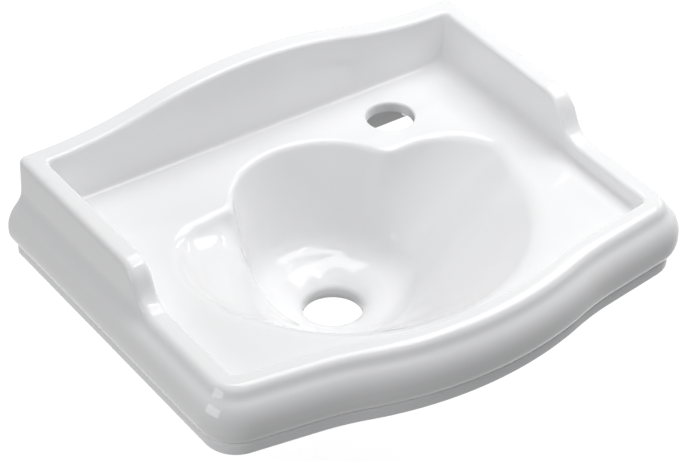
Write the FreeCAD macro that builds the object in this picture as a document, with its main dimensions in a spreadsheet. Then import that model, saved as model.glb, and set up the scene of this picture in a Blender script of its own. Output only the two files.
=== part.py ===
"""Wall-hung hand-rinse basin with a moulded skirt, a lobed bowl and its two wall fixings.

Millimetres. X runs along the wall, Y points into the wall (the wall's face is Y = 0), Z points up.
The origin lies on the wall's face, midway between the two fixing holes.
"""

import FreeCAD, Part
import math
import os

from FreeCAD import Placement, Rotation, Vector

SIZES = [
    # name, value, what it is
    ("rim_half_width", 183.0, "middle of the basin to the rim's edge line, at the sides"),
    ("rim_corner_depth", 267.5, "wall to the rim's edge line at a front corner, before rounding"),
    ("rim_bow", 32.5, "how far the middle of the front stands out past its corners"),
    ("bow_half_run", 85.0, "half the width of the front's outward curve"),
    ("sweep_run", 36.0, "width of the hollow curve at each end of that outward curve"),
    ("corner_slope", 9.0, "angle of the front edge where it leaves a corner, degrees"),
    ("corner_round", 14.0, "plan radius of the rim's edge line at the front corners"),
    ("deck_rise", 24.0, "fixing hole's axis to the deck"),
    ("deck_thick", 9.0, "thickness of the deck"),
    ("low_rim", 14.2, "height of the front rim over the deck"),
    ("high_rim", 43.0, "height of the back and side walls over the deck"),
    ("crest_rise", 21.0, "rise of the back wall's arched crest over its ends"),
    ("fall_start", 140.0, "wall to the point where a side wall starts to fall"),
    ("fall_run", 40.0, "length over which a side wall falls to the front rim"),
    ("back_wall", 16.0, "thickness of the back wall"),
    ("side_wall", 10.2, "rim's edge line to the inner face of a side wall"),
    ("face_out", 5.5, "rim's edge line to the outer face of a side wall"),
    ("rim_round_out", 5.0, "rounding of the rim's outer edge"),
    ("high_cove", 14.0, "hollow rounding at the foot of the high side walls"),
    ("low_cove", 4.0, "hollow rounding at the foot of the low rim"),
    ("ogee_top", 16.0, "height over the deck where the skirt's ogee begins"),
    ("ogee_fall", 28.0, "height of the ogee"),
    ("ogee_out", 11.9, "how far the ogee stands out from the outer face"),
    ("ogee_cove", 16.0, "radius of the ogee's hollow"),
    ("belly_flat", 3.0, "height of the straight stretch at the skirt's widest line"),
    ("under_round", 18.0, "radius of the skirt's return under its widest line"),
    ("under_fall", 14.0, "height of that return"),
    ("lip_drop", 40.0, "deck to the bottom of the skirt"),
    ("lip_step", 1.1, "depth of the groove over the bottom lip"),
    ("lip_bevel", 2.0, "bevel along the bottom lip"),
    ("skirt_wall", 10.0, "thickness of the skirt"),
    ("bowl_wall", 9.0, "thickness of the bowl"),
    ("bowl_depth", 84.0, "deck to the bowl's floor"),
    ("front_dish_back", 140.0, "wall to the middle of the bowl's wide front dish"),
    ("front_dish_radius", 137.8, "radius of that dish at the deck"),
    ("front_dish_slope", 38.1, "slope of that dish, degrees"),
    ("front_dish_foot", 37.0, "rounding between that slope and the bowl's floor"),
    ("rear_lobe_back", 113.0, "wall to the middle of the bowl's steep rear lobe"),
    ("rear_lobe_radius", 68.5, "radius of the rear lobe at the deck"),
    ("rear_lobe_slope", 79.3, "slope of the rear lobe's wall, degrees"),
    ("rear_lobe_foot", 24.0, "rounding between that wall and the bowl's floor"),
    ("foot_flats", 4, "number of short flats that make up such a rounding"),
    ("side_lobe_across", 87.0, "middle of the basin to the middle of the sloping side lobe, at the deck"),
    ("side_lobe_back", 128.5, "wall to the middle of the side lobe"),
    ("side_lobe_radius", 36.0, "radius of the side lobe, square to its slope"),
    ("side_lobe_slope", 45.0, "angle of the side lobe to the deck, degrees"),
    ("shoulder_depth", 13.0, "depth of the shoulder between the soap hollow and the bowl"),
    ("shoulder_lean", 16.0, "lean of the bowl's side under that shoulder, degrees"),
    ("soap_across", 95.0, "middle of the basin to the middle of the soap hollow"),
    ("soap_back", 145.0, "wall to the middle of the soap hollow"),
    ("soap_half_width", 44.0, "half the width of the soap hollow"),
    ("soap_half_length", 58.0, "half the length of the soap hollow, square to the wall"),
    ("soap_end_round", 34.0, "plan radius of the soap hollow's ends"),
    ("soap_depth", 11.5, "depth of the soap hollow at its middle"),
    ("soap_tilt", 6.0, "slope of the soap hollow's floor towards the bowl, degrees"),
    ("soap_foot_round", 7.0, "rounding round the soap hollow's floor"),
    ("drain_back", 120.0, "wall to the waste hole's axis"),
    ("drain_radius", 22.5, "radius of the waste hole"),
    ("drain_seat", 12.0, "depth of the dished seat round the waste hole"),
    ("drain_seat_radius", 38.0, "radius of that seat at the bowl's floor"),
    ("drain_wall", 10.0, "length of the waste hole's straight wall"),
    ("drain_boss_radius", 37.0, "radius of the flat boss under the waste hole"),
    ("tap_across", 96.0, "middle of the basin to the tap hole's axis"),
    ("tap_back", 54.4, "wall to the tap hole's axis"),
    ("tap_radius", 18.0, "radius of the tap hole"),
    ("tap_bevel", 3.0, "bevel of the tap hole's glazed edge"),
    ("fixing_half_gap", 140.0, "middle of the basin to a fixing hole's axis"),
    ("fixing_hole_radius", 7.5, "radius of a fixing hole"),
    ("bolt_radius", 4.0, "radius of the hanger bolt's two threaded ends"),
    ("bolt_waist_radius", 3.5, "radius of the plain waist between those ends"),
    ("bolt_waist", 12.0, "length of the waist in front of the wall's face"),
    ("bolt_in_wall", 52.0, "length of the bolt behind the wall's face"),
    ("bolt_past_nut", 9.0, "length of the bolt in front of the nut"),
    ("bolt_tip", 6.0, "length of the bolt's pointed end"),
    ("bush_fit", 0.3, "radial clearance of the bush in its hole"),
    ("bush_reach", 13.0, "length of the bush inside the hole"),
    ("bush_flange_radius", 13.0, "radius of the bush's flange"),
    ("bush_flange", 3.0, "thickness of the bush's flange"),
    ("bolt_fit", 0.25, "radial clearance of bush and washer round the bolt"),
    ("thread_fit", 0.05, "radial clearance of the nut round the bolt"),
    ("washer_radius", 12.0, "radius of the washer"),
    ("washer_thick", 2.0, "thickness of the washer"),
    ("nut_across", 13.0, "width of the nut over its flats"),
    ("nut_thick", 6.5, "thickness of the nut"),
]

doc = FreeCAD.newDocument("basin")
sheet = doc.addObject("Spreadsheet::Sheet", "sizes")
for row, (name, value, meaning) in enumerate(SIZES, start=1):
    sheet.set(f"A{row}", meaning)
    sheet.set(f"B{row}", str(value))
    sheet.setAlias(f"B{row}", name)
doc.recompute()


def size(name):
    return float(sheet.get(name))


DECK = size("deck_rise")
LIP = DECK - size("lip_drop")
HEADROOM = 90.0  # cutters reach this far over the deck


# ---------------------------------------------------------------- plan of the rim
def steepest_angle():
    """Angle of the front edge where its hollow curve meets its outward curve, by bisection."""
    start = math.radians(size("corner_slope"))
    straight = size("rim_half_width") - size("bow_half_run") - size("sweep_run")
    low, high = math.radians(-60), math.radians(80)
    for _ in range(60):
        angle = (low + high) / 2
        bow = straight * math.tan(start)
        bow += size("sweep_run") * math.tan((start + angle) / 2)
        bow += size("bow_half_run") * math.tan(angle / 2)
        if bow < size("rim_bow"):
            low = angle
        else:
            high = angle
    return angle


def plan_edges(inset, level, back=0.0):
    """The rim's edge line moved inwards by inset, from the left end at the wall round to the right end."""
    start = math.radians(size("corner_slope"))
    steep = steepest_angle()
    turn = math.pi / 2 - start
    corner_tangent = size("corner_round") * math.tan(turn / 2)
    straight = size("rim_half_width") - size("bow_half_run") - size("sweep_run")
    sweep_radius = size("sweep_run") / (math.sin(steep) - math.sin(start))
    bow_radius = size("bow_half_run") / math.sin(steep)
    front_run = straight / math.cos(start) - corner_tangent
    moves = [
        ("line", size("rim_corner_depth") - corner_tangent + back),
        ("arc", size("corner_round") - inset, turn),
        ("line", front_run),
        ("arc", sweep_radius + inset, start - steep),
        ("arc", bow_radius - inset, 2 * steep),
        ("arc", sweep_radius + inset, start - steep),
        ("line", front_run),
        ("arc", size("corner_round") - inset, turn),
        ("line", size("rim_corner_depth") - corner_tangent + back),
    ]
    here = Vector(inset - size("rim_half_width"), back, level)
    heading = -math.pi / 2
    edges = []
    for move in moves:
        if move[0] == "line":
            there = here + Vector(math.cos(heading), math.sin(heading), 0) * move[1]
            edges.append(Part.makeLine(here, there))
        else:
            radius, angle = move[1], move[2]
            side = math.copysign(1, angle)
            left = Vector(-math.sin(heading), math.cos(heading), 0) * side
            centre = here + left * radius

            def on_arc(share):
                swing = Rotation(Vector(0, 0, 1), math.degrees(angle * share))
                return centre + swing.multVec(here - centre)

            there = on_arc(1.0)
            edges.append(Part.Arc(here, on_arc(0.5), there).toShape())
            heading += angle
        here = there
    return edges


def plan_prism(inset, back, low, high):
    """Upright block under the plan line, closed by a straight back."""
    edges = plan_edges(inset, low, back)
    first = edges[0].Vertexes[0].Point
    last = edges[-1].Vertexes[-1].Point
    wire = Part.Wire(edges + [Part.makeLine(last, first)])
    return Part.Face(wire).extrude(Vector(0, 0, high - low))


# ---------------------------------------------------------------- moulded wall
def arc_by_turn(start, centre, degrees, axis):
    """Arc from start round centre, with its end point."""
    middle = centre + Rotation(axis, degrees / 2).multVec(start - centre)
    end = centre + Rotation(axis, degrees).multVec(start - centre)
    return Part.Arc(start, middle, end).toShape(), end


def wall_section():
    """Section of the moulded wall at its left end: X is the distance out from the rim's edge line."""
    edges = []
    out = size("face_out")
    top = DECK + HEADROOM
    ogee_top = DECK + size("ogee_top")
    inner = -size("side_wall")

    def at(offset, level):
        return Vector(-size("rim_half_width") - offset, 0, level)

    def line(a, b):
        edges.append(Part.makeLine(a, b))

    angle = 2 * math.atan(size("ogee_out") / size("ogee_fall"))
    cove = size("ogee_cove")
    belly = size("ogee_fall") / math.sin(angle) - cove
    belly_out = out + size("ogee_out")
    belly_level = ogee_top - size("ogee_fall")
    step = math.degrees(angle)
    axis = Vector(0, 1, 0)

    line(at(inner, top), at(out, top))
    line(at(out, top), at(out, ogee_top))
    edge, here = arc_by_turn(at(out, ogee_top), at(out + cove, ogee_top), step, axis)
    edges.append(edge)
    edge, here = arc_by_turn(here, at(belly_out - belly, belly_level), -step, axis)
    edges.append(edge)

    flat_end = belly_level - size("belly_flat")
    line(here, at(belly_out, flat_end))
    under = size("under_round")
    under_turn = math.degrees(math.asin(size("under_fall") / under))
    edge, here = arc_by_turn(at(belly_out, flat_end), at(belly_out - under, flat_end), -under_turn, axis)
    edges.append(edge)
    groove_out = -size("rim_half_width") - here.x - size("lip_step")
    groove_level = here.z - size("lip_step")
    line(here, at(groove_out, groove_level))
    bead_out = groove_out + size("lip_step")
    line(at(groove_out, groove_level), at(bead_out, groove_level - size("lip_step")))
    line(at(bead_out, groove_level - size("lip_step")), at(bead_out, LIP + size("lip_bevel")))
    line(at(bead_out, LIP + size("lip_bevel")), at(bead_out - size("lip_bevel"), LIP))

    thick = size("skirt_wall")
    inside = bead_out - thick
    line(at(bead_out - size("lip_bevel"), LIP), at(inside, LIP))
    hollow_top = DECK - size("deck_thick")
    hollow_mid = (belly_level + flat_end) / 2
    hollow_out = belly_out - thick
    hollow_low = LIP + size("lip_drop") * 0.2
    line(at(inside, LIP), at(inside, hollow_low))
    line(at(inside, hollow_low), at(hollow_out, hollow_mid))
    line(at(hollow_out, hollow_mid), at(inside, hollow_top))
    line(at(inside, hollow_top), at(inner, hollow_top))
    line(at(inner, hollow_top), at(inner, top))
    return Part.Wire(Part.__sortEdges__(edges))


def moulded_wall():
    """The wall's section run along the straight stretches of the plan and turned round its curves."""
    face = Part.Face(wall_section())
    pieces = []
    for edge in plan_edges(0.0, DECK):
        start, end = edge.Vertexes[0].Point, edge.Vertexes[-1].Point
        if edge.Curve.TypeId == "Part::GeomLine":
            pieces.append(face.extrude(end - start))
            face.translate(end - start)
        else:
            centre = edge.Curve.Center
            spoke, later = start - centre, end - centre
            turn = math.degrees(math.atan2(spoke.cross(later).z, spoke.dot(later)))
            pieces.append(face.revolve(centre, Vector(0, 0, 1), turn))
            face.rotate(centre, Vector(0, 0, 1), turn)
    return pieces[0].fuse(pieces[1:]).removeSplitter()


def upright_cutter(points, along, reach):
    """Everything over an outline of lines and three-point arcs, run for reach along the given direction."""
    edges = []
    for first, middle, last in points:
        if middle is None:
            edges.append(Part.makeLine(first, last))
        else:
            edges.append(Part.Arc(first, middle, last).toShape())
    start, end = points[0][0], points[-1][2]
    top = DECK + HEADROOM + 5
    corner_a = Vector(end.x, end.y, top)
    corner_b = Vector(start.x, start.y, top)
    edges.append(Part.makeLine(end, corner_a))
    edges.append(Part.makeLine(corner_a, corner_b))
    edges.append(Part.makeLine(corner_b, start))
    return Part.Face(Part.Wire(edges)).extrude(along * reach)


def double_curve(run, rise):
    """Two equal tangent arcs from (0, 0) to (run, rise), level at both ends: each start, middle and end."""
    angle = 2 * math.atan(abs(rise) / run)
    radius = run / (2 * math.sin(angle))
    sign = math.copysign(1, rise)

    def first(share):
        turn = angle * share
        return radius * math.sin(turn), sign * radius * (1 - math.cos(turn))

    def second(share):
        across, up = first(1 - share)
        return run - across, rise - up

    return [(first(0), first(0.5), first(1)), (second(0), second(0.5), second(1))]


def side_fall_cutter():
    """Takes the side walls down to the front rim; the back wall keeps its height."""
    across = size("rim_half_width") + 60
    high = DECK + size("high_rim")
    low = DECK + size("low_rim")
    fall_end = size("fall_start") + size("fall_run")
    far = size("rim_corner_depth") + size("rim_bow") + 60

    def at(depth, level):
        return Vector(-across, -depth, level)

    points = [(at(size("back_wall"), high), None, at(size("fall_start"), high))]
    for start, middle, end in double_curve(size("fall_run"), low - high):
        points.append(
            tuple(at(size("fall_start") + a, high + b) for a, b in (start, middle, end))
        )
    points.append((at(fall_end, low), None, at(far, low)))
    return upright_cutter(points, Vector(1, 0, 0), 2 * across)


def crest_cutter():
    """Takes the back wall down to its arched crest."""
    high = DECK + size("high_rim")
    run = size("rim_half_width") - size("side_wall")
    across = size("rim_half_width") + 60
    front = -size("back_wall")

    def at(x, level):
        return Vector(x, front, level)

    points = [(at(-across, high), None, at(-run, high))]
    for start, middle, end in double_curve(run, size("crest_rise")):
        points.append(tuple(at(-run + a, high + b) for a, b in (start, middle, end)))
    mirrored = [
        tuple(Vector(-p.x, p.y, p.z) for p in reversed(stretch)) if stretch[1] else
        (Vector(-stretch[2].x, front, stretch[2].z), None, Vector(-stretch[0].x, front, stretch[0].z))
        for stretch in reversed(points)
    ]
    return upright_cutter(points + mirrored, Vector(0, 1, 0), size("back_wall") + 10)


# ---------------------------------------------------------------- bowl
FAR = 700.0
SHOULDER = (Vector(-64.0, -91.0, 0), Vector(-105.0, -168.0, 0))
DISH_CUT = (Vector(-66.0, -94.0, 0), Vector(140.0, -130.0, 0))


def half_space(point, inward):
    """Large block with one face through the point; inward points from that face into the block."""
    block = Part.makeBox(FAR, FAR, FAR, Vector(-FAR / 2, -FAR / 2, 0))
    block.Placement = Placement(point, Rotation(Vector(0, 0, 1), inward))
    return block


def round_lobe(name, grow):
    """Round lobe of the bowl: a straight slope with a rounded foot, which is bevelled on the skin below."""
    slope = math.radians(size(name + "_slope"))
    depth = size("bowl_depth") + grow
    rim_radius = size(name + "_radius") + grow / math.sin(slope)
    foot = size(name + "_foot")
    flats = 1 if grow else int(size("foot_flats"))
    corner = rim_radius - depth / math.tan(slope)
    floor, top = DECK - depth, DECK + 6
    rim = Vector(corner + (top - floor) / math.tan(slope), 0, top)
    centre = Vector(corner - foot * math.tan(slope / 2), 0, floor + foot)
    turns = [slope * (1 - step / flats) for step in range(flats + 1)]
    curve = [centre + Vector(math.sin(turn), 0, -math.cos(turn)) * foot for turn in turns]
    outline = Part.makePolygon([rim] + curve + [Vector(0, 0, floor), Vector(0, 0, top), rim])
    lobe = Part.Face(outline).revolve(Vector(0, 0, 0), Vector(0, 0, 1), 360)
    lobe.translate(Vector(0, -size(name + "_back"), 0))
    return lobe


def side_lobe(grow):
    """Sloping round channel that runs from the deck down to the bowl's floor."""
    slope = math.radians(size("side_lobe_slope"))
    along = Vector(math.cos(slope), 0, math.sin(slope))
    middle = Vector(size("side_lobe_across"), -size("side_lobe_back"), DECK)
    start = middle - along * (size("bowl_depth") / math.sin(slope) + grow)
    return Part.makeCylinder(size("side_lobe_radius") + grow, 260, start, along)


def soap_hollow(grow):
    """Oval dish whose floor slopes down towards the bowl."""
    end_round = size("soap_end_round") + grow
    half_width = size("soap_half_width") + grow
    half_length = size("soap_half_length") + grow
    shift = half_length - end_round
    side_round = (half_width ** 2 + shift ** 2 - end_round ** 2) / (2 * (half_width - end_round))
    aim = Vector(side_round - half_width, shift, 0)
    aim.normalize()
    join = Vector(0, shift, 0) + aim * end_round
    corner = [Vector(x * join.x, y * join.y, 0) for x, y in ((1, 1), (-1, 1), (-1, -1), (1, -1))]
    edges = [
        Part.Arc(corner[0], Vector(0, half_length, 0), corner[1]).toShape(),
        Part.Arc(corner[1], Vector(-half_width, 0, 0), corner[2]).toShape(),
        Part.Arc(corner[2], Vector(0, -half_length, 0), corner[3]).toShape(),
        Part.Arc(corner[3], Vector(half_width, 0, 0), corner[0]).toShape(),
    ]
    height = size("soap_depth") + grow + 20
    block = Part.Face(Part.Wire(edges)).extrude(Vector(0, 0, height))
    if not grow:
        floor_edges = [e for e in block.Edges if e.BoundBox.ZMax < 0.01]
        block = block.makeFillet(size("soap_foot_round"), floor_edges)
    block.Placement = Placement(
        Vector(-size("soap_across"), -size("soap_back"), DECK - size("soap_depth") - grow),
        Rotation(Vector(0, 1, 0), size("soap_tilt")),
    )
    return block


def bowl(grow):
    """The bowl with its skin moved out by grow: three lobes, clipped at the shoulder and the floor."""
    dish = round_lobe("front_dish", grow)
    run = (SHOULDER[1] - SHOULDER[0]).normalize()
    right = Vector(-run.y, run.x, 0)
    lean = math.radians(size("shoulder_lean"))
    under = Vector(right.x * math.cos(lean), right.y * math.cos(lean), math.sin(lean))
    edge = Vector(SHOULDER[0].x, SHOULDER[0].y, DECK - size("shoulder_depth")) - under * grow
    rear_run = (DISH_CUT[1] - DISH_CUT[0]).normalize()
    front = Vector(rear_run.y, -rear_run.x, 0)
    rear_edge = DISH_CUT[0] + Vector(0, 0, DECK)
    main_dish = dish.common(half_space(edge, under)).common(half_space(rear_edge, front))

    tilt = math.radians(size("soap_tilt"))
    soap_up = Vector(math.sin(tilt), 0, math.cos(tilt))
    soap_floor = Vector(-size("soap_across"), -size("soap_back"), DECK - size("soap_depth") - grow)
    ledge = dish.common(half_space(soap_floor, soap_up)).common(half_space(soap_floor, Vector(0, -1, 0)))

    lobes = round_lobe("rear_lobe", grow).fuse([side_lobe(grow), main_dish, ledge])
    floor = Vector(0, 0, DECK - size("bowl_depth") - grow)
    top = Vector(0, 0, DECK + 4)
    lobes = lobes.common(half_space(floor, Vector(0, 0, 1))).common(half_space(top, Vector(0, 0, -1)))
    return lobes.fuse(soap_hollow(grow).common(half_space(top, Vector(0, 0, -1))))


# ---------------------------------------------------------------- casting
def cove_section(radius, depth):
    """Hollow corner at the foot of the left side wall, cut square to the wall at the given depth."""
    corner = Vector(size("side_wall") - size("rim_half_width"), -depth, DECK)
    up = corner + Vector(0, 0, radius)
    along = corner + Vector(radius, 0, 0)
    half = radius * (1 - math.sqrt(0.5))
    middle = corner + Vector(half, 0, half)
    sunk = Vector(-1, 0, -1)
    return Part.Wire([
        Part.Arc(up, middle, along).toShape(),
        Part.makeLine(along, along + Vector(0, 0, -1)),
        Part.makeLine(along + Vector(0, 0, -1), corner + sunk),
        Part.makeLine(corner + sunk, up + Vector(-1, 0, 0)),
        Part.makeLine(up + Vector(-1, 0, 0), up),
    ])


def side_cove():
    """Large cove along the high part of the left side wall, shrinking down the fall to the low rim's cove."""
    high, low = size("high_cove"), size("low_cove")
    fall_end = size("fall_start") + size("fall_run")
    sections = [
        cove_section(high, size("back_wall") - 1),
        cove_section(high, size("fall_start")),
        cove_section(low, fall_end),
        cove_section(low, size("rim_corner_depth") - size("corner_round")),
    ]
    return Part.makeLoft(sections, True, True)


def rim_outer_edges(solid):
    """Outer edges along the top of the side walls and of the front rim."""
    edge_line = Part.Wire(plan_edges(0.0, DECK))
    found = []
    for edge in solid.Edges:
        box = edge.BoundBox
        if box.ZMin < DECK + size("low_rim") - 0.15 or box.YMin > -0.1:
            continue
        middle = edge.valueAt((edge.FirstParameter + edge.LastParameter) / 2)
        across_wall = box.YLength < 0.1 and box.XLength < size("side_wall") + size("face_out") + 1
        outside = abs(middle.x) > size("rim_half_width") or -middle.y > size("rim_corner_depth")
        reach = edge_line.distToShape(Part.Vertex(Vector(middle.x, middle.y, DECK)))[0]
        if outside and not across_wall and abs(reach - size("face_out")) < 0.6:
            found.append(edge)
    return found


def casting():
    """The glazed body before its holes are cut."""
    across = size("rim_half_width") + size("face_out")
    panel = Part.makeBox(
        2 * across, size("back_wall"), DECK + HEADROOM - LIP,
        Vector(-across, -size("back_wall"), LIP),
    )
    deck = plan_prism(5.0, 0.0, DECK - size("deck_thick"), DECK)
    boss = Part.makeCylinder(
        size("drain_boss_radius"),
        size("bowl_depth") + size("drain_seat") + size("drain_wall"),
        Vector(0, -size("drain_back"), DECK),
        Vector(0, 0, -1),
    )
    cove = side_cove()
    skin = bowl(size("bowl_wall")).common(half_space(Vector(0, 0, DECK - 1), Vector(0, 0, -1)))
    other_cove = cove.mirror(Vector(0, 0, 0), Vector(1, 0, 0))
    solid = moulded_wall().fuse([panel, deck, boss, cove, other_cove, skin])
    solid = solid.cut([side_fall_cutter(), crest_cutter(), bowl(0.0)]).removeSplitter().Solids[0]
    return solid.makeFillet(size("rim_round_out"), rim_outer_edges(solid))


# ---------------------------------------------------------------- document objects
INTO_WALL = Rotation(Vector(1, 0, 0), -90)
PANEL_FACE = "sizes.back_wall"
WASHER_BACK = f"({PANEL_FACE} + sizes.bush_flange)"
NUT_BACK = f"({WASHER_BACK} + sizes.washer_thick)"
NUT_FRONT = f"({NUT_BACK} + sizes.nut_thick)"
BOLT_FRONT = f"({NUT_FRONT} + sizes.bolt_past_nut)"


def add(kind, name, turn=Rotation(), **formulas):
    """Document object whose properties follow formulas over the sheet; x, y and z place it."""
    item = doc.addObject(kind, name)
    item.Placement = Placement(Vector(0, 0, 0), turn)
    for key, formula in formulas.items():
        target = f"Placement.Base.{key}" if key in ("x", "y", "z") else key
        item.setExpression(target, formula)
    return item


def rod(name, radius, start, end, across):
    """Cylinder along Y from start to end at the fixing hole's axis."""
    return add(
        "Part::Cylinder", name, INTO_WALL,
        Radius=radius, Height=f"({end}) - ({start})", x=across, y=start,
    )


def combine(kind, name, base, tool):
    item = doc.addObject(kind, name)
    item.Base, item.Tool = base, tool
    return item


def fixing(side, sign):
    """One wall fixing: hanger bolt, bush, washer and nut on one axis."""
    across = f"{sign} * sizes.fixing_half_gap"
    thread = "sizes.bolt_radius + sizes.thread_fit"
    loose = "sizes.bolt_radius + sizes.bolt_fit"

    front_end = rod(f"bolt_front_{side}", "sizes.bolt_radius", f"-{BOLT_FRONT}", "-sizes.bolt_waist", across)
    waist = rod(f"bolt_waist_{side}", "sizes.bolt_waist_radius", "-sizes.bolt_waist - 1", "1", across)
    wall_end = rod(
        f"bolt_wall_end_{side}", "sizes.bolt_radius", "0", "sizes.bolt_in_wall - sizes.bolt_tip", across,
    )
    tip = add(
        "Part::Cone", f"bolt_tip_{side}", INTO_WALL,
        Radius1="sizes.bolt_radius", Radius2="sizes.bolt_radius / 4", Height="sizes.bolt_tip",
        x=across, y="sizes.bolt_in_wall - sizes.bolt_tip",
    )
    bolt = doc.addObject("Part::MultiFuse", f"hanger_bolt_{side}")
    bolt.Shapes = [wall_end, tip, waist, front_end]

    sleeve = rod(
        f"bush_sleeve_{side}", "sizes.fixing_hole_radius - sizes.bush_fit",
        f"-{PANEL_FACE}", f"sizes.bush_reach - {PANEL_FACE}", across,
    )
    flange = rod(
        f"bush_flange_{side}", "sizes.bush_flange_radius", f"-{WASHER_BACK}", f"-{PANEL_FACE}", across,
    )
    whole = combine("Part::Fuse", f"bush_whole_{side}", flange, sleeve)
    bush_bore = rod(f"bush_bore_{side}", loose, f"-{WASHER_BACK} - 1", "0", across)
    bush = combine("Part::Cut", f"fixing_bush_{side}", whole, bush_bore)

    disc = rod(f"washer_disc_{side}", "sizes.washer_radius", f"-{NUT_BACK}", f"-{WASHER_BACK}", across)
    washer_bore = rod(f"washer_bore_{side}", loose, f"-{NUT_BACK} - 1", f"1 - {WASHER_BACK}", across)
    washer = combine("Part::Cut", f"fixing_washer_{side}", disc, washer_bore)

    hexagon = add(
        "Part::Prism", f"nut_hexagon_{side}", INTO_WALL,
        Circumradius="sizes.nut_across / (2 * cos(30))", Height="sizes.nut_thick",
        x=across, y=f"-{NUT_FRONT}",
    )
    hexagon.Polygon = 6
    nut_bore = rod(f"nut_bore_{side}", thread, f"-{NUT_FRONT} - 1", f"1 - {NUT_BACK}", across)
    nut = combine("Part::Cut", f"fixing_nut_{side}", hexagon, nut_bore)
    return [bolt, bush, washer, nut]


cast = doc.addObject("Part::Feature", "cast_body")
cast.Shape = casting()

tap_bore = add(
    "Part::Cylinder", "tap_bore", Radius="sizes.tap_radius", Height="sizes.deck_thick + 60",
    x="sizes.tap_across", y="-sizes.tap_back", z="sizes.deck_rise - sizes.deck_thick - 50",
)
tap_edge = add(
    "Part::Cone", "tap_edge", Radius1="sizes.tap_radius", Radius2="sizes.tap_radius + sizes.tap_bevel",
    Height="sizes.tap_bevel", x="sizes.tap_across", y="-sizes.tap_back",
    z="sizes.deck_rise - sizes.tap_bevel",
)
waste_bore = add(
    "Part::Cylinder", "waste_bore", Radius="sizes.drain_radius",
    Height="sizes.drain_wall + sizes.drain_seat + 1", y="-sizes.drain_back",
    z="sizes.deck_rise - sizes.bowl_depth - sizes.drain_seat - sizes.drain_wall - 1",
)
waste_seat = add(
    "Part::Cone", "waste_seat", Radius1="sizes.drain_radius", Radius2="sizes.drain_seat_radius",
    Height="sizes.drain_seat", y="-sizes.drain_back",
    z="sizes.deck_rise - sizes.bowl_depth - sizes.drain_seat",
)
fixing_holes = [
    rod(
        f"fixing_hole_{side}", "sizes.fixing_hole_radius",
        f"-{PANEL_FACE} - 1", "1", f"{sign} * sizes.fixing_half_gap",
    )
    for side, sign in (("left", -1), ("right", 1))
]
holes = doc.addObject("Part::MultiFuse", "holes")
holes.Shapes = [tap_bore, tap_edge, waste_bore, waste_seat] + fixing_holes
basin = combine("Part::Cut", "basin_body", cast, holes)

nodes = [basin]
for side, sign in (("left", -1), ("right", 1)):
    nodes += fixing(side, sign)
doc.recompute()

for item in doc.Objects:
    if "Invalid" in item.State or "Error" in item.State:
        raise RuntimeError(f"{item.Name} didn't build: {item.State}")
for node in nodes:
    if node.Shape.isNull() or not node.Shape.isValid() or not node.Shape.Solids:
        raise RuntimeError(f"{node.Label} has no valid solid")

os.makedirs("parts", exist_ok=True)
for node in nodes:
    node.Shape.exportStep(f"parts/{node.Label}.step")
    print(node.Label, len(node.Shape.Solids), round(node.Shape.Volume), node.Shape.BoundBox)
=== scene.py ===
import math

import bmesh
import bpy
import numpy as np
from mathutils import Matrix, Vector


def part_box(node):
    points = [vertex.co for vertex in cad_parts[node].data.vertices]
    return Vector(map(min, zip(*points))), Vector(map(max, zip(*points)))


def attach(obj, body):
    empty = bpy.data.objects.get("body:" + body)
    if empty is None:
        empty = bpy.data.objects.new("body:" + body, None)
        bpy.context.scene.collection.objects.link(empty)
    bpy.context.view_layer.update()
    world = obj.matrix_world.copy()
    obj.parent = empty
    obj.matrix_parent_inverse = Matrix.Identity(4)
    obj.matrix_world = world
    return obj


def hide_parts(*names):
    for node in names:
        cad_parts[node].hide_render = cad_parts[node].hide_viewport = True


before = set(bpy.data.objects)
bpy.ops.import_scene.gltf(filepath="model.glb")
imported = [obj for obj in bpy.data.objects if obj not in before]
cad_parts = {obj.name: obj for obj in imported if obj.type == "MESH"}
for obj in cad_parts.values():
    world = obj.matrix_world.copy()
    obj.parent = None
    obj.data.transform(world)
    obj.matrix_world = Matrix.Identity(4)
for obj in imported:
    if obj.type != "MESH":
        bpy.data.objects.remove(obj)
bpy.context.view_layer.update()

# Sizes are in millimetres, as the basin's drawing has them; a mesh is scaled to metres when it is made.
# The wall is Y = 0 and the front lies at less Y. Heights are over the deck, which is DECK over the frame's origin.
MM = 0.001
DECK = 24.0

# plan of the rim
HALF_WIDTH = 183.0
CORNER_DEPTH = 267.5
FRONT_BOW = 32.5
BOW_HALF = 85.0
SWEEP = 36.0
CORNER_SLOPE = math.radians(9.0)
CORNER_ROUND = 14.0
REAR_CORNER = 5.5
REAR_CORNER_LOW = 2.5
INNER_CORNER = 5.0

# walls over the deck
LOW_RIM = 14.2
HIGH_WALL = 43.0
CREST = 21.0
CREST_DEPTH = 8.0  # the arched crest reaches this far in front of the back wall
FALL_START = 140.0
FALL_RUN = 40.0
BACK_WALL = 16.0
SIDE_WALL = 10.2
FACE_OUT = 5.5
ROUND_OUT = 5.0
ROUND_BACK = 3.0
ROUND_IN = 3.5
HIGH_COVE = 14.0
LOW_COVE = 4.0
BACK_COVE = 4.5

# skirt
OGEE_TOP = 16.0
OGEE_FALL = 28.0
OGEE_OUT = 11.9
OGEE_COVE = 16.0
BELLY_FLAT = 3.0
BELLY_END = OGEE_TOP - OGEE_FALL - BELLY_FLAT
UNDER_ROUND = 18.0
UNDER_FALL = 14.0
GROOVE = ((0.9, 0.35), (1.1, 1.1), (0.9, 1.85), (0.15, 2.1), (0, 2.6))  # how far in, how far down
LIP = -40.0
LIP_ROUND = 2.5
LIP_BACK = 0.4  # share of the lip's round that the back takes
SKIRT_WALL = 10.0
DECK_THICK = 9.0
HOLLOW_START = 8.0
HOLLOW_SWELL = 6.7
HOLLOW_ROUND = 4.0

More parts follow.
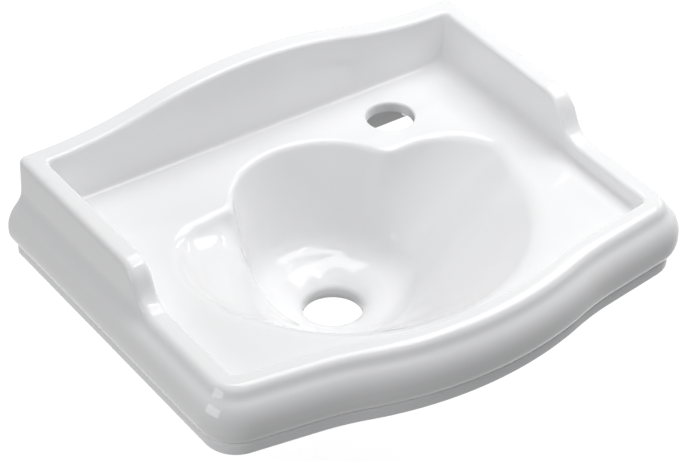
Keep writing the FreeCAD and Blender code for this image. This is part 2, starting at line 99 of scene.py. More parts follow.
# waste hole with its seat, and the boss round it
WASTE_BACK = 120.0
WASTE_RADIUS = 22.5
WASTE_DEPTH = 10.0
SEAT_DEPTH = 12.0
SEAT_RADIUS = 38.0
SEAT_START = 1.5
SEAT_LIP = 0.5
BOSS_RADIUS = 37.0
BOSS_ROOT = 2.5

# bowl: a steep rear lobe, a side lobe and a wide front dish over one floor
BOWL_FLOOR = -84.0
BOWL_WALL = 9.0
REAR_LOBE = (113.0, 68.5, 79.3)  # distance from the wall, radius at the deck, slope in degrees
FRONT_DISH = (140.0, 134.5, 39.5)
DISH_BACK_LEFT, DISH_BACK_RIGHT = np.array([-66.0, -94.0]), np.array([140.0, -130.0])
SIDE_LOBE_ACROSS = 87.0
SIDE_LOBE_BACK = 128.5
SIDE_LOBE_RADIUS = 36.0
SEAT_FOOT = BOWL_FLOOR - SEAT_DEPTH
BOSS_FOOT = SEAT_FOOT - WASTE_DEPTH

# shoulder between the dish and the soap hollow: it leans more along its run
SHOULDER_START, SHOULDER_END = np.array([-65.0, -91.0]), np.array([-109.0, -168.0])
SHOULDER_DROP = 13.0
SHOULDER_LEAN, LEAN_MORE = 24.0, 6.0
LEAN_START, LEAN_RUN = 40.0, 60.0

# soap hollow: an oval on a tilted floor
SOAP_ACROSS = -95.0
SOAP_BACK = 145.0
SOAP_DROP = 11.5
SOAP_TILT = math.radians(6.0)
SOAP_HALF_WIDTH = 44.0
SOAP_SIDE_ROUND = 67.8
SOAP_END_ROUND = 34.0
SOAP_END_SHIFT = 24.0
SOAP_FRONT = 186.0

# how far the soft joins reach: at the feet of the hollows, over ridges, and on edges
REAR_FOOT, SIDE_FOOT, DISH_FOOT, SOAP_FOOT = 19.5, 10.0, 8.0, 22.0
LOBE_RIDGE, SOAP_RIDGE = 13.0, 20.0
SHOULDER_ROLL, DISH_BACK_ROLL, SOAP_FRONT_ROLL = 12.0, 8.0, 14.0
EDGE_ROLL, SEAT_ROLL, UNDER_ROLL = 5.0, 1.0, 8.0

# tap hole and wall fixings
TAP_PLACE = (96.0, -54.4, 0.0)
TAP_RADIUS = 18.0
TAP_EDGE = 3.0
FIXING_ACROSS = 140.0
FIXING_HOLE = 7.5
BOLT_RADIUS = 4.0
BOLT_WAIST_RADIUS = 3.5
WAIST_START = -12.0
POINT_LENGTH = 6.0
COARSE_DEPTH, COARSE_PITCH = 1.1, 3.6
FINE_DEPTH, FINE_PITCH = 0.6, 1.25

# how finely the casting is measured out, by rays from an eye over the waste hole
EYE = 110.0
RAY_SAMPLES = 380
RAY_START = 30.0
RAY_MOVES, RAY_MOVE = 130, 0.65
INSIDE_RINGS, UNDERSIDE_RINGS = 186, 34
BEND_GAIN, BEND_LIMIT = 8, 0.3
SMOOTHING_PASSES = 4

# studio, in metres and watts
STUDIO_FLOOR = -0.25
STUDIO_REACH = 6
LAMP_AIM = (0.0, -0.15, 0.0)
LAMPS = (  # name, place, width, height, power
    ("overhead", (0.60, 0.02, 1.35), 1.25, 1.25, 16.2),
    ("left_fill", (-1.75, -0.25, 0.35), 1.0, 0.8, 7.2),
    ("front_fill", (-0.3, -1.1, 1.6), 1.8, 1.4, 4.0),
    ("right_strip", (1.5, 0.15, 0.75), 0.70, 0.10, 1.8),
    ("top_strip", (0.4, -0.45, 1.30), 0.40, 0.06, 0.7),
)
CAMERA_PLACE = (-0.9707, -1.5590, 1.3005)
CAMERA_VIEW = Vector((0.4478, 0.6627, -0.6003))
CAMERA_LENS = 159.1
CAMERA_SHIFT = 0.008


# ---------------------------------------------------------------- soft joins
def soft_min(a, b, reach):
    """The lower of two distances, rounded where they are closer to each other than reach."""
    near = np.maximum(reach - np.abs(a - b), 0) / reach
    return np.minimum(a, b) - near * near * reach / 4


def soft_max(a, b, reach):
    return -soft_min(-a, -b, reach)


def growth(field, place, step):
    """Unit direction in which a field grows at each point; place has one row of coordinates for each axis."""
    rise = []
    for axis in range(len(place)):
        shift = np.zeros((len(place), 1))
        shift[axis] = step
        rise.append(field(*(place + shift)) - field(*(place - shift)))
    rise = np.stack(rise, axis=1)
    return rise / np.maximum(np.linalg.norm(rise, axis=1), 1e-6)[:, None]


def double_curve(along, run, rise):
    """Height of two equal tangent arcs that climb by rise over run, level at both ends."""
    angle = 2 * math.atan(rise / run)
    radius = run / (2 * math.sin(angle))
    u = np.clip(along, 0, run)
    first = radius - np.sqrt(np.maximum(radius**2 - np.minimum(u, run / 2) ** 2, 0))
    back = run - np.maximum(u, run / 2)
    second = rise - (radius - np.sqrt(np.maximum(radius**2 - back**2, 0)))
    return np.where(u < run / 2, first, second)


# ---------------------------------------------------------------- plan
def steepest_angle():
    """Angle at which the front's hollow curve meets its outward curve."""
    straight = HALF_WIDTH - BOW_HALF - SWEEP
    low, high = math.radians(-60), math.radians(80)
    for _ in range(60):
        angle = (low + high) / 2
        bow = straight * math.tan(CORNER_SLOPE)
        bow += SWEEP * math.tan((CORNER_SLOPE + angle) / 2)
        bow += BOW_HALF * math.tan(angle / 2)
        if bow < FRONT_BOW:
            low = angle
        else:
            high = angle
    return angle


STEEP = steepest_angle()
SWEEP_RADIUS = SWEEP / (math.sin(STEEP) - math.sin(CORNER_SLOPE))
BOW_RADIUS = BOW_HALF / math.sin(STEEP)
BOW_CENTRE = -CORNER_DEPTH - FRONT_BOW + BOW_RADIUS
FRONT_NORMAL = np.array([math.sin(CORNER_SLOPE), -math.cos(CORNER_SLOPE)])
SWEEP_START = np.array([
    BOW_HALF + SWEEP,
    -CORNER_DEPTH - (HALF_WIDTH - BOW_HALF - SWEEP) * math.tan(CORNER_SLOPE),
])
SWEEP_CENTRE = SWEEP_START + FRONT_NORMAL * SWEEP_RADIUS


def front_distance(x, y, inset):
    """Distance in front of the rim's front edge line moved in by inset, less than 0 behind it."""
    across = np.abs(x)
    straight = (across - HALF_WIDTH) * FRONT_NORMAL[0] + (y + CORNER_DEPTH) * FRONT_NORMAL[1]
    sweep = SWEEP_RADIUS - np.hypot(across - SWEEP_CENTRE[0], y - SWEEP_CENTRE[1])
    bow = np.hypot(across, y - BOW_CENTRE) - BOW_RADIUS
    along = (across - SWEEP_START[0]) * -math.cos(CORNER_SLOPE) + (y - SWEEP_START[1]) * -math.sin(CORNER_SLOPE)
    in_bow = across * math.cos(STEEP) < (BOW_CENTRE - y) * math.sin(STEEP)
    return np.where(in_bow, bow, np.where(along > 0, sweep, straight)) + inset


def wall_height(x, y):
    """Top of the walls: high walls that fall to the front rim, and the back wall's arched crest."""
    height = HIGH_WALL - double_curve(-y - FALL_START, FALL_RUN, HIGH_WALL - LOW_RIM)
    run = HALF_WIDTH - SIDE_WALL
    crest = double_curve(run - np.abs(x), run, CREST)
    return height + np.where(y > -BACK_WALL - CREST_DEPTH, crest, 0)


def skirt_reach(z):
    """How far the outer face stands out from the rim's edge line at a height: face, ogee, belly, return."""
    turn = 2 * math.atan(OGEE_OUT / OGEE_FALL)
    belly = OGEE_FALL / math.sin(turn) - OGEE_COVE
    drop = OGEE_TOP - z
    hollow = FACE_OUT + OGEE_COVE - np.sqrt(np.maximum(OGEE_COVE**2 - drop**2, 0))
    rest = np.clip(OGEE_FALL - drop, 0, belly)
    bulge = FACE_OUT + OGEE_OUT - belly + np.sqrt(belly**2 - rest**2)
    under = np.clip(BELLY_END - z, 0, UNDER_FALL)
    bulge = bulge - UNDER_ROUND + np.sqrt(UNDER_ROUND**2 - under**2)
    return np.where(drop <= 0, FACE_OUT, np.where(drop < OGEE_COVE * math.sin(turn), hollow, bulge))


LIP_EDGE = float(skirt_reach(BELLY_END - UNDER_FALL))


# ---------------------------------------------------------------- bowl
def from_line(x, y, start, end):
    """Distance run along the line from start to end, and distance to its left, both in plan."""
    run = (end - start) / np.hypot(*(end - start))
    along = (x - start[0]) * run[0] + (y - start[1]) * run[1]
    left = (y - start[1]) * run[0] - (x - start[0]) * run[1]
    return along, left


def cone_air(x, y, z, back, radius, slope):
    """Signed distance to a cone that narrows downwards, with its axis on the basin's middle line."""
    angle = math.radians(slope)
    return (np.hypot(x, y + back) - radius - z / math.tan(angle)) * math.sin(angle)


def soap_air(x, y, z):
    """Signed distance to the soap hollow, which runs out into the dish in front of the shoulder."""
    across, up = x - SOAP_ACROSS, z + SOAP_DROP
    over = across * math.sin(SOAP_TILT) + up * math.cos(SOAP_TILT)
    width = np.abs(across * math.cos(SOAP_TILT) - up * math.sin(SOAP_TILT))
    length = np.abs(y + SOAP_BACK)
    shift = SOAP_SIDE_ROUND - SOAP_HALF_WIDTH
    at_end = (length - SOAP_END_SHIFT) * shift > width * SOAP_END_SHIFT
    ends = np.hypot(width, length - SOAP_END_SHIFT) - SOAP_END_ROUND
    sides = np.hypot(width + shift, length) - SOAP_SIDE_ROUND
    oval = soft_max(np.where(at_end, ends, sides), -y - SOAP_FRONT, SOAP_FRONT_ROLL)
    return soft_max(oval, -over, SOAP_FOOT)


def bowl_air(x, y, z):
    """Signed distance to the bowl and the soap hollow, less than 0 in their air, with soft ridges between."""
    floor = BOWL_FLOOR - z
    rear = soft_max(cone_air(x, y, z, *REAR_LOBE), floor, REAR_FOOT)

    # the side lobe is a cylinder laid at 45 degrees
    laid = math.sqrt(0.5)
    reach = (x - SIDE_LOBE_ACROSS) * laid + z * laid
    square = (x - SIDE_LOBE_ACROSS) ** 2 + (y + SIDE_LOBE_BACK) ** 2 + z**2 - reach**2
    side = soft_max(np.sqrt(np.maximum(square, 0)) - SIDE_LOBE_RADIUS, floor, SIDE_FOOT)

    # the front dish ends at the leaning shoulder, and behind at a line through the lobes
    run, beside = from_line(x, y, SHOULDER_START, SHOULDER_END)
    past = np.clip((run - LEAN_START) / LEAN_RUN, 0, 1)
    lean = np.radians(SHOULDER_LEAN + LEAN_MORE * past * past * (3 - 2 * past))
    under = -(beside * np.cos(lean) + (z + SHOULDER_DROP) * np.sin(lean))
    _, behind = from_line(x, y, DISH_BACK_LEFT, DISH_BACK_RIGHT)
    front = soft_max(cone_air(x, y, z, *FRONT_DISH), floor, DISH_FOOT)
    front = soft_max(soft_max(front, under, SHOULDER_ROLL), behind, DISH_BACK_ROLL)

    lobes = soft_min(soft_min(rear, side, LOBE_RIDGE), front, LOBE_RIDGE)
    return soft_min(lobes, soap_air(x, y, z), SOAP_RIDGE)


def inside_air(x, y, z):
    """Signed distance to everything open from above: bowl, tray and the waste hole's seat."""
    slope = math.atan2(SEAT_DEPTH, SEAT_RADIUS - WASTE_RADIUS)
    seat = (np.hypot(x, y + WASTE_BACK) - SEAT_RADIUS) * math.sin(slope) - (z - BOWL_FLOOR) * math.cos(slope)
    seat = soft_max(seat, z - BOWL_FLOOR - SEAT_LIP, SEAT_ROLL)
    air = soft_min(soft_min(bowl_air(x, y, z), seat, EDGE_ROLL), -z, EDGE_ROLL)
    low = np.clip((-y - FALL_START) / FALL_RUN, 0, 1)
    cove = HIGH_COVE + (LOW_COVE - HIGH_COVE) * low
    air = soft_max(air, np.abs(x) - (HALF_WIDTH - SIDE_WALL), cove)
    air = soft_max(air, y + BACK_WALL, BACK_COVE)
    return soft_max(air, front_distance(x, y, SIDE_WALL), LOW_COVE)


def inner_plan(x, y):
    """Distance outside the walls' inner faces, in plan."""
    sides = soft_max(np.abs(x) - (HALF_WIDTH - SIDE_WALL), y + BACK_WALL, BACK_COVE)
    return soft_max(sides, front_distance(x, y, SIDE_WALL), LOW_COVE)


def under_skin(x, y, z):
    """Signed distance to the casting's underside: the deck's and the bowl's walls have one thickness."""
    return soft_min(bowl_air(x, y, z), -z, UNDER_ROLL) - BOWL_WALL


# ---------------------------------------------------------------- stations round the plan
def between(count):
    """Even shares between 0 and 1, without the two ends."""
    return np.arange(1, count + 1) / (count + 1)


class Stations:
    """Points round the rim, the same number on every ring, so that rings join into one skin."""

    def __init__(self):
        turn = math.pi / 2 - CORNER_SLOPE
        self.side_end = -CORNER_DEPTH + CORNER_ROUND * math.tan(turn / 2)
        corner_centre = np.array([-HALF_WIDTH + CORNER_ROUND, self.side_end])
        flip = np.array([-1, 1])
        left = []
        for angle in math.pi + turn * between(10):
            normal = np.array([math.cos(angle), math.sin(angle)])
            left.append((corner_centre + normal * CORNER_ROUND, normal))
        normal = FRONT_NORMAL * flip
        start, end = corner_centre + normal * CORNER_ROUND, SWEEP_START * flip
        for share in np.linspace(0, 1, 14):
            left.append((start + (end - start) * share, normal))
        for angle in CORNER_SLOPE + (STEEP - CORNER_SLOPE) * between(12):
            normal = np.array([-math.sin(angle), -math.cos(angle)])
            left.append((SWEEP_CENTRE * flip - normal * SWEEP_RADIUS, normal))
        for share in np.linspace(0, 1, 25)[:-1]:
            angle = STEEP * (1 - share)
            normal = np.array([-math.sin(angle), -math.cos(angle)])
            left.append((np.array([0, BOW_CENTRE]) + normal * BOW_RADIUS, normal))
        middle = [(np.array([0, BOW_CENTRE - BOW_RADIUS]), np.array([0.0, -1.0]))]
        front = left + middle + [(point * flip, normal * flip) for point, normal in reversed(left)]
        self.front_points = np.array([point for point, _ in front])
        self.front_normals = np.array([normal for _, normal in front])
        self.left_share = np.linspace(0, 1, 92)
        self.right_share = np.linspace(1, 0, 52)
        self.corner_share = between(7)
        self.back_share = np.linspace(0, 1, 50)
        left, right, front = len(self.left_share), len(self.right_share), len(self.front_points)
        corner, back = len(self.corner_share), len(self.back_share)
        self.counts = [left, front, right, corner, back, corner]

    def __len__(self):
        return sum(self.counts)

    def ring(self, out, back, corner):
        """Plan points of a ring out from the rim's edge line, with its back at Y = back, rear corners rounded."""
        count = len(self)
        out, back, corner = (np.broadcast_to(np.asarray(size, float), (count,)) for size in (out, back, corner))
        left, front, right, right_corner, rear, left_corner = np.split(
            np.arange(count), np.cumsum(self.counts)[:-1]
        )
        points = np.zeros((count, 2))
        for side, g, u in ((-1, left, self.left_share), (1, right, self.right_share)):
            points[g, 0] = side * (HALF_WIDTH + out[g])
            points[g, 1] = (back[g] - corner[g]) * (1 - u) + self.side_end * u
        points[front] = self.front_points + self.front_normals * out[front, None]
        turn = self.corner_share * math.pi / 2
        for side, g, a in ((1, right_corner, turn), (-1, left_corner, turn[::-1])):
            points[g, 0] = side * (HALF_WIDTH + out[g] - corner[g] * (1 - np.cos(a)))
            points[g, 1] = back[g] - corner[g] * (1 - np.sin(a))
        points[rear, 0] = (HALF_WIDTH + out[rear] - corner[rear]) * (1 - 2 * self.back_share)
        points[rear, 1] = back[rear]
        return points

    def at_back(self):
        """Share of the back in each station: 1 on the back wall, 0 at the sides and front, between in corners."""
        rise = self.corner_share
        before = sum(self.counts[:3])
        return np.concatenate([np.zeros(before), rise, np.ones(len(self.back_share)), rise[::-1]])


# ---------------------------------------------------------------- rings of the casting's skin
def running_mean(rows, width, mode):
    kernel = np.ones(width) / width
    return np.array([np.convolve(row, kernel, mode) for row in rows])


def measured_out(field, heading, low, high, rings):
    """Radius and height, ring by ring, where rays from the eye between two angles meet the field's skin."""
    share = np.linspace(0, 1, RAY_SAMPLES)
    angle = low[:, None] + (high - low)[:, None] * share
    sin, cos = np.sin(angle), np.cos(angle)
    ux, uy = np.cos(heading)[:, None], np.sin(heading)[:, None]
    run = np.full(angle.shape, RAY_START)
    for _ in range(RAY_MOVES):
        x, y, z = ux * sin * run, uy * sin * run - WASTE_BACK, EYE - cos * run
        run -= RAY_MOVE * field(x, y, z)
    out, level = sin * run, EYE - cos * run

    # rings gather where the skin bends, and run evenly from one station to the next
    step = np.hypot(np.diff(out, axis=1), np.diff(level, axis=1)) + 1e-9
    bearing = np.unwrap(np.arctan2(np.diff(level, axis=1), np.diff(out, axis=1)), axis=1)
    bend = np.zeros_like(out)
    bend[:, 1:-1] = np.abs(np.diff(bearing, axis=1)) / ((step[:, 1:] + step[:, :-1]) / 2)
    bend = running_mean(bend, 9, "same")
    weight = step * (1 + BEND_GAIN * np.minimum((bend[:, 1:] + bend[:, :-1]) / 2, BEND_LIMIT))
    total = np.concatenate([np.zeros((len(out), 1)), np.cumsum(weight, axis=1)], axis=1)
    total /= total[:, -1:]
    reach = 7
    wrapped = np.concatenate([total[-reach:], total, total[:reach]])
    even = running_mean(wrapped.T, 2 * reach + 1, "valid").T
    wanted = [np.interp(np.linspace(0, 1, rings), row, share) for row in even]
    out = np.array([np.interp(at, share, row) for at, row in zip(wanted, out)]).T
    level = np.array([np.interp(at, share, row) for at, row in zip(wanted, level)]).T

    # small ripples go, but the deck and the first rings stay as they are
    place = np.arange(rings)[1:-1, None]
    for _ in range(SMOOTHING_PASSES):
        hold = np.clip((-level[1:-1] - 1.0) / 4.0, 0, 1) * np.clip((place - 6) / 12, 0, 1)
        for grid in (out, level):
            around = (np.roll(grid, 1, axis=1) + np.roll(grid, -1, axis=1) + 2 * grid) / 4
            mean = (around[:-2] + around[2:] + 2 * around[1:-1]) / 4
            grid[1:-1] += hold * (mean - grid[1:-1])
    return out, level


def ring_at(plan, level):
    """Ring of points from its plan and its level, which is one height or one for each station."""
    return np.column_stack([plan, np.broadcast_to(np.asarray(level, float), (len(plan),))])


def waste_ring(radius, heading, level):
    """Ring round the waste hole's axis."""
    return ring_at(np.stack([radius * np.cos(heading), radius * np.sin(heading) - WASTE_BACK], axis=1), level)


def heading_of(plan):
    """Directions of plan points from the waste hole's axis."""
    return np.arctan2(plan[:, 1] + WASTE_BACK, plan[:, 0])


def inner_face(heading):
    """Where the headings meet the walls' inner faces: distance, plan points, and their normals into the wall."""
    ux, uy = np.cos(heading), np.sin(heading)
    near, far = np.full(len(heading), 60.0), np.full(len(heading), 320.0)
    for _ in range(50):
        middle = (near + far) / 2
        outside = inner_plan(ux * middle, uy * middle - WASTE_BACK) > 0
        near, far = np.where(outside, near, middle), np.where(outside, middle, far)
    plan = np.stack([ux * near, uy * near - WASTE_BACK], axis=1)
    return near, plan, growth(inner_plan, plan.T, 0.01)


def bowl_rings(heading, reach, inner):
    """The waste hole's wall, its seat, the bowl, the deck and the walls' inner faces."""
    steps = (
        (0, BOSS_FOOT + 0.8), (0, BOSS_FOOT + 5),
        (0, SEAT_FOOT - 2.4), (0.12, SEAT_FOOT - 1.2), (0.7, SEAT_FOOT - 0.2),
    )
    rings = [waste_ring(WASTE_RADIUS + wider, heading, level) for wider, level in steps]
    start_level = SEAT_FOOT + SEAT_START * SEAT_DEPTH / (SEAT_RADIUS - WASTE_RADIUS)
    low = np.full(len(heading), math.atan2(WASTE_RADIUS + SEAT_START, EYE - start_level))
    high = np.arctan2(reach, EYE - (wall_height(inner[:, 0], inner[:, 1]) - ROUND_IN))
    out, level = measured_out(inside_air, heading, low, high, INSIDE_RINGS)
    return rings + [waste_ring(radius, heading, height) for radius, height in zip(out, level)]


def outer_round(stations, angle):
    """Plan and level on the walls' outer top round, whose angle is 0 on the outer face."""
    back = stations.at_back()
    round_out = ROUND_OUT * (1 - back) + ROUND_BACK * back
    inward = round_out * (1 - math.cos(angle))
    plan = stations.ring(FACE_OUT - inward, -inward, REAR_CORNER - inward)
    level = wall_height(plan[:, 0], plan[:, 1]) - round_out * (1 - math.sin(angle))
    return stations.ring(skirt_reach(level) - inward, -inward, REAR_CORNER - inward), level


def wall_top_rings(stations, inner, into_wall):
    """Over the top of the walls, from their inner faces to their outer faces."""
    rings = []
    for angle in np.radians([15, 30, 45, 60, 75, 90]):
        plan = inner + into_wall * ROUND_IN * (1 - math.cos(angle))
        rings.append(ring_at(plan, wall_height(plan[:, 0], plan[:, 1]) - ROUND_IN * (1 - math.sin(angle))))
    brow, _ = outer_round(stations, math.pi / 2)
    start = rings[-1][:, :2]
    for share in (0.33, 0.67):
        plan = start + (brow - start) * share
        rings.append(ring_at(plan, wall_height(plan[:, 0], plan[:, 1])))
    return rings + [ring_at(*outer_round(stations, angle)) for angle in np.radians([90, 75, 60, 45, 30, 15, 0])]


def skirt_rings(stations, top):
    """Outer face, ogee, belly and return down from the top, then the groove and the rounded lip."""
    rings = []
    for share in np.linspace(0, 1, 19)[1:]:
        height = top + (BELLY_END - top) * share
        corner = REAR_CORNER - (REAR_CORNER - REAR_CORNER_LOW) * share
        rings.append(ring_at(stations.ring(skirt_reach(height), 0.0, corner), height))
    for turn in np.linspace(0, math.asin(UNDER_FALL / UNDER_ROUND), 8)[1:]:
        height = BELLY_END - UNDER_ROUND * math.sin(turn)
        rings.append(ring_at(stations.ring(skirt_reach(height), 0.0, REAR_CORNER_LOW), height))
    for depth, drop in GROOVE:
        rings.append(ring_at(stations.ring(LIP_EDGE - depth, 0.0, REAR_CORNER_LOW), BELLY_END - UNDER_FALL - drop))
    for turn in np.radians([0, 22, 45, 68, 90]):
        inward = LIP_ROUND * (1 - math.cos(turn))
        plan = stations.ring(LIP_EDGE - inward, -inward * LIP_BACK, REAR_CORNER_LOW)
        rings.append(ring_at(plan, LIP + LIP_ROUND * (1 - math.sin(turn))))
    return rings


def hollow_rings(stations):
    """The lip's inner edge, the skirt's inner face, and the round up to the deck's underside."""
    inside = LIP_EDGE - SKIRT_WALL
    rings = []
    for wider, level in ((1.5, LIP), (0.4, LIP + 0.4), (0, LIP + 1.5)):
        rings.append(ring_at(stations.ring(inside + wider, -BACK_WALL + wider, INNER_CORNER), level))
    low, top = LIP + HOLLOW_START, -DECK_THICK - HOLLOW_ROUND
    for share in np.linspace(0, 1, 9):
        swell = HOLLOW_SWELL * math.sin(math.pi * share) ** 1.5
        rings.append(ring_at(stations.ring(inside + swell, -BACK_WALL, INNER_CORNER), low + (top - low) * share))
    for turn in np.radians([30, 60, 90]):
        inward = HOLLOW_ROUND * (1 - math.cos(turn))
        plan = stations.ring(inside - inward, -BACK_WALL - inward, INNER_CORNER - inward)
        rings.append(ring_at(plan, top + HOLLOW_ROUND * math.sin(turn)))
    return rings


def underside_rings(outermost, waste_heading):
    """Underside of the deck and of the bowl, and the boss down to the waste hole's foot."""
    heading = heading_of(outermost)
    high = np.arctan2(np.hypot(outermost[:, 0], outermost[:, 1] + WASTE_BACK), EYE + DECK_THICK)
    low = np.full(len(heading), math.atan2(BOSS_RADIUS + BOSS_ROOT, EYE - BOWL_FLOOR + BOWL_WALL))
    out, level = measured_out(under_skin, heading, low, high, UNDERSIDE_RINGS)
    rings = [waste_ring(radius, heading, height) for radius, height in zip(out[-2::-1], level[-2::-1])]
    shelf = rings[-1][:, 2]
    steps = (
        (0.8, shelf - 0.7), (0.1, shelf - 2.2),
        (0, BOSS_FOOT + 1.2), (-0.4, BOSS_FOOT + 0.4), (-1.2, BOSS_FOOT),
    )
    rings += [waste_ring(BOSS_RADIUS + wider, heading, level) for wider, level in steps]
    return rings + [waste_ring(WASTE_RADIUS + 0.8, waste_heading, BOSS_FOOT)]


def casting_rings():
    """All rings of the casting's skin in order: waste hole, bowl, walls, skirt, underside and back to the hole."""
    stations = Stations()
    heading = heading_of(stations.ring(-SIDE_WALL, -BACK_WALL, INNER_CORNER))
    reach, inner, into_wall = inner_face(heading)
    rings = bowl_rings(heading, reach, inner)
    rings += wall_top_rings(stations, inner, into_wall)
    rings += skirt_rings(stations, rings[-1][:, 2])
    rings += hollow_rings(stations)
    rings += underside_rings(rings[-1][:, :2], heading)
    return np.array(rings)


# ---------------------------------------------------------------- meshes
def skin_mesh(name, rings):
    """Closed mesh of the rings; the last ring joins the first."""
    count, around = rings.shape[:2]
    vertices = rings.reshape(-1, 3).copy()
    vertices[:, 2] += DECK
    vertices *= MM
    ring, station = np.meshgrid(np.arange(count), np.arange(around), indexing="ij")
    after, beside = (ring + 1) % count, (station + 1) % around
    faces = np.stack([
        ring * around + station, after * around + station, after * around + beside, ring * around + beside,
    ], axis=-1).reshape(-1, 4)
    mesh = bpy.data.meshes.new(name)
    mesh.from_pydata(vertices.tolist(), [], faces.tolist())
    clean = bmesh.new()
    clean.from_mesh(mesh)
    bmesh.ops.remove_doubles(clean, verts=clean.verts, dist=1e-6)
    if clean.calc_volume(signed=True) < 0:
        bmesh.ops.reverse_faces(clean, faces=clean.faces)
    clean.to_mesh(mesh)
    clean.free()
    return mesh


def turned_mesh(name, profile, centre, axis, segments=72):
    """Closed solid of revolution about Z or Y: profile is (radius, place along the axis) from end to end."""
    clean = bmesh.new()
    loops = []
    for radius, height in profile:
        loop = []
        for index in range(segments):
            angle = 2 * math.pi * index / segments
            a, b = radius * math.cos(angle), radius * math.sin(angle)
            spot = (a, b, height) if axis == "Z" else (a, height, -b)
            loop.append(clean.verts.new((Vector(centre) + Vector(spot)) * MM))
        loops.append(loop)
    for lower, upper in zip(loops, loops[1:]):
        for index in range(segments):
            other = (index + 1) % segments
            clean.faces.new((lower[index], lower[other], upper[other], upper[index]))
    clean.faces.new(loops[0][::-1])
    clean.faces.new(loops[-1])
    bmesh.ops.recalc_face_normals(clean, faces=clean.faces)
    mesh = bpy.data.meshes.new(name)
    clean.to_mesh(mesh)
    clean.free()
    return mesh


def link(name, mesh):
    piece = bpy.data.objects.new(name, mesh)
    bpy.context.scene.collection.objects.link(piece)
    return piece


def finished(piece):
    """The piece with its modifiers baked into a plain mesh."""
    graph = bpy.context.evaluated_depsgraph_get()
    mesh = bpy.data.meshes.new_from_object(piece.evaluated_get(graph), depsgraph=graph)
    piece.modifiers.clear()
    piece.data = mesh
    return piece


def even_shading(mesh):
    """Take the inside's corner normals from its field, so that the glaze shines evenly over ridges and coves."""
    spots = np.empty(len(mesh.vertices) * 3)
    mesh.vertices.foreach_get("co", spots)
    place = spots.reshape(-1, 3).T / MM
    place[2] -= DECK
    x, y, z = place
    into_air = -growth(inside_air, place, 0.3)
    inside = np.abs(inside_air(x, y, z)) < 1.5
    inside &= z < wall_height(x, y) - ROUND_IN - 0.2
    inside &= np.hypot(x, y + WASTE_BACK) > WASTE_RADIUS + SEAT_START + 0.3
    corner = np.empty(len(mesh.loops), dtype=np.int32)
    mesh.loops.foreach_get("vertex_index", corner)
    normals = np.empty(len(mesh.loops) * 3, dtype=np.float32)
    mesh.corner_normals.foreach_get("vector", normals)
    normals = normals.reshape(-1, 3)
    wanted = into_air[corner]
    change = inside[corner] & ((normals * wanted).sum(axis=1) > 0.85)
    normals[change] = wanted[change]
    mesh.normals_split_custom_set(normals.tolist())


def make_basin():
    """The glazed casting with its tap hole and its two fixing holes."""
    basin = link("glazed_casting", skin_mesh("glazed_casting", casting_rings()))
    edge = DECK - TAP_EDGE
    tap = [(TAP_RADIUS, DECK - 30.0), (TAP_RADIUS, edge)]
    for angle in np.radians([15, 30, 45, 60, 75]):
        tap.append((TAP_RADIUS + TAP_EDGE * (1 - math.cos(angle)), edge + TAP_EDGE * math.sin(angle)))
    outer = TAP_RADIUS + TAP_EDGE
    tap += [(outer - 0.05, DECK), (outer + 1.5, DECK + 0.35), (outer + 1.5, DECK + 20.0)]
    cutters = [link("tap_cutter", turned_mesh("tap_cutter", tap, TAP_PLACE, "Z"))]
    hole = [(FIXING_HOLE, -30.0), (FIXING_HOLE, 12.0)]
    for across in (-FIXING_ACROSS, FIXING_ACROSS):
        cutters.append(link("fixing_cutter", turned_mesh("fixing_cutter", hole, (across, 0.0, 0.0), "Y", 40)))
    for cutter in cutters:
        cut = basin.modifiers.new("cut", "BOOLEAN")
        cut.operation = "DIFFERENCE"
        cut.solver = "EXACT"
        cut.object = cutter
    finished(basin)
    for cutter in cutters:
        bpy.data.objects.remove(cutter)
    basin.data.shade_smooth()
    basin.data.set_sharp_from_angle(angle=math.radians(70))
    even_shading(basin.data)
    return basin


# ---------------------------------------------------------------- wall fixings
def add_node(tree, kind, **values):
    """Node of a tree with its unlinked inputs and its settings filled in."""
    node = tree.nodes.new(kind)
    for name, value in values.items():
        if name in node.inputs:
            node.inputs[name].default_value = value
        else:
            setattr(node, name, value)
    return node


def wire(tree, *pairs):
    for source, target in pairs:
        tree.links.new(source, target)


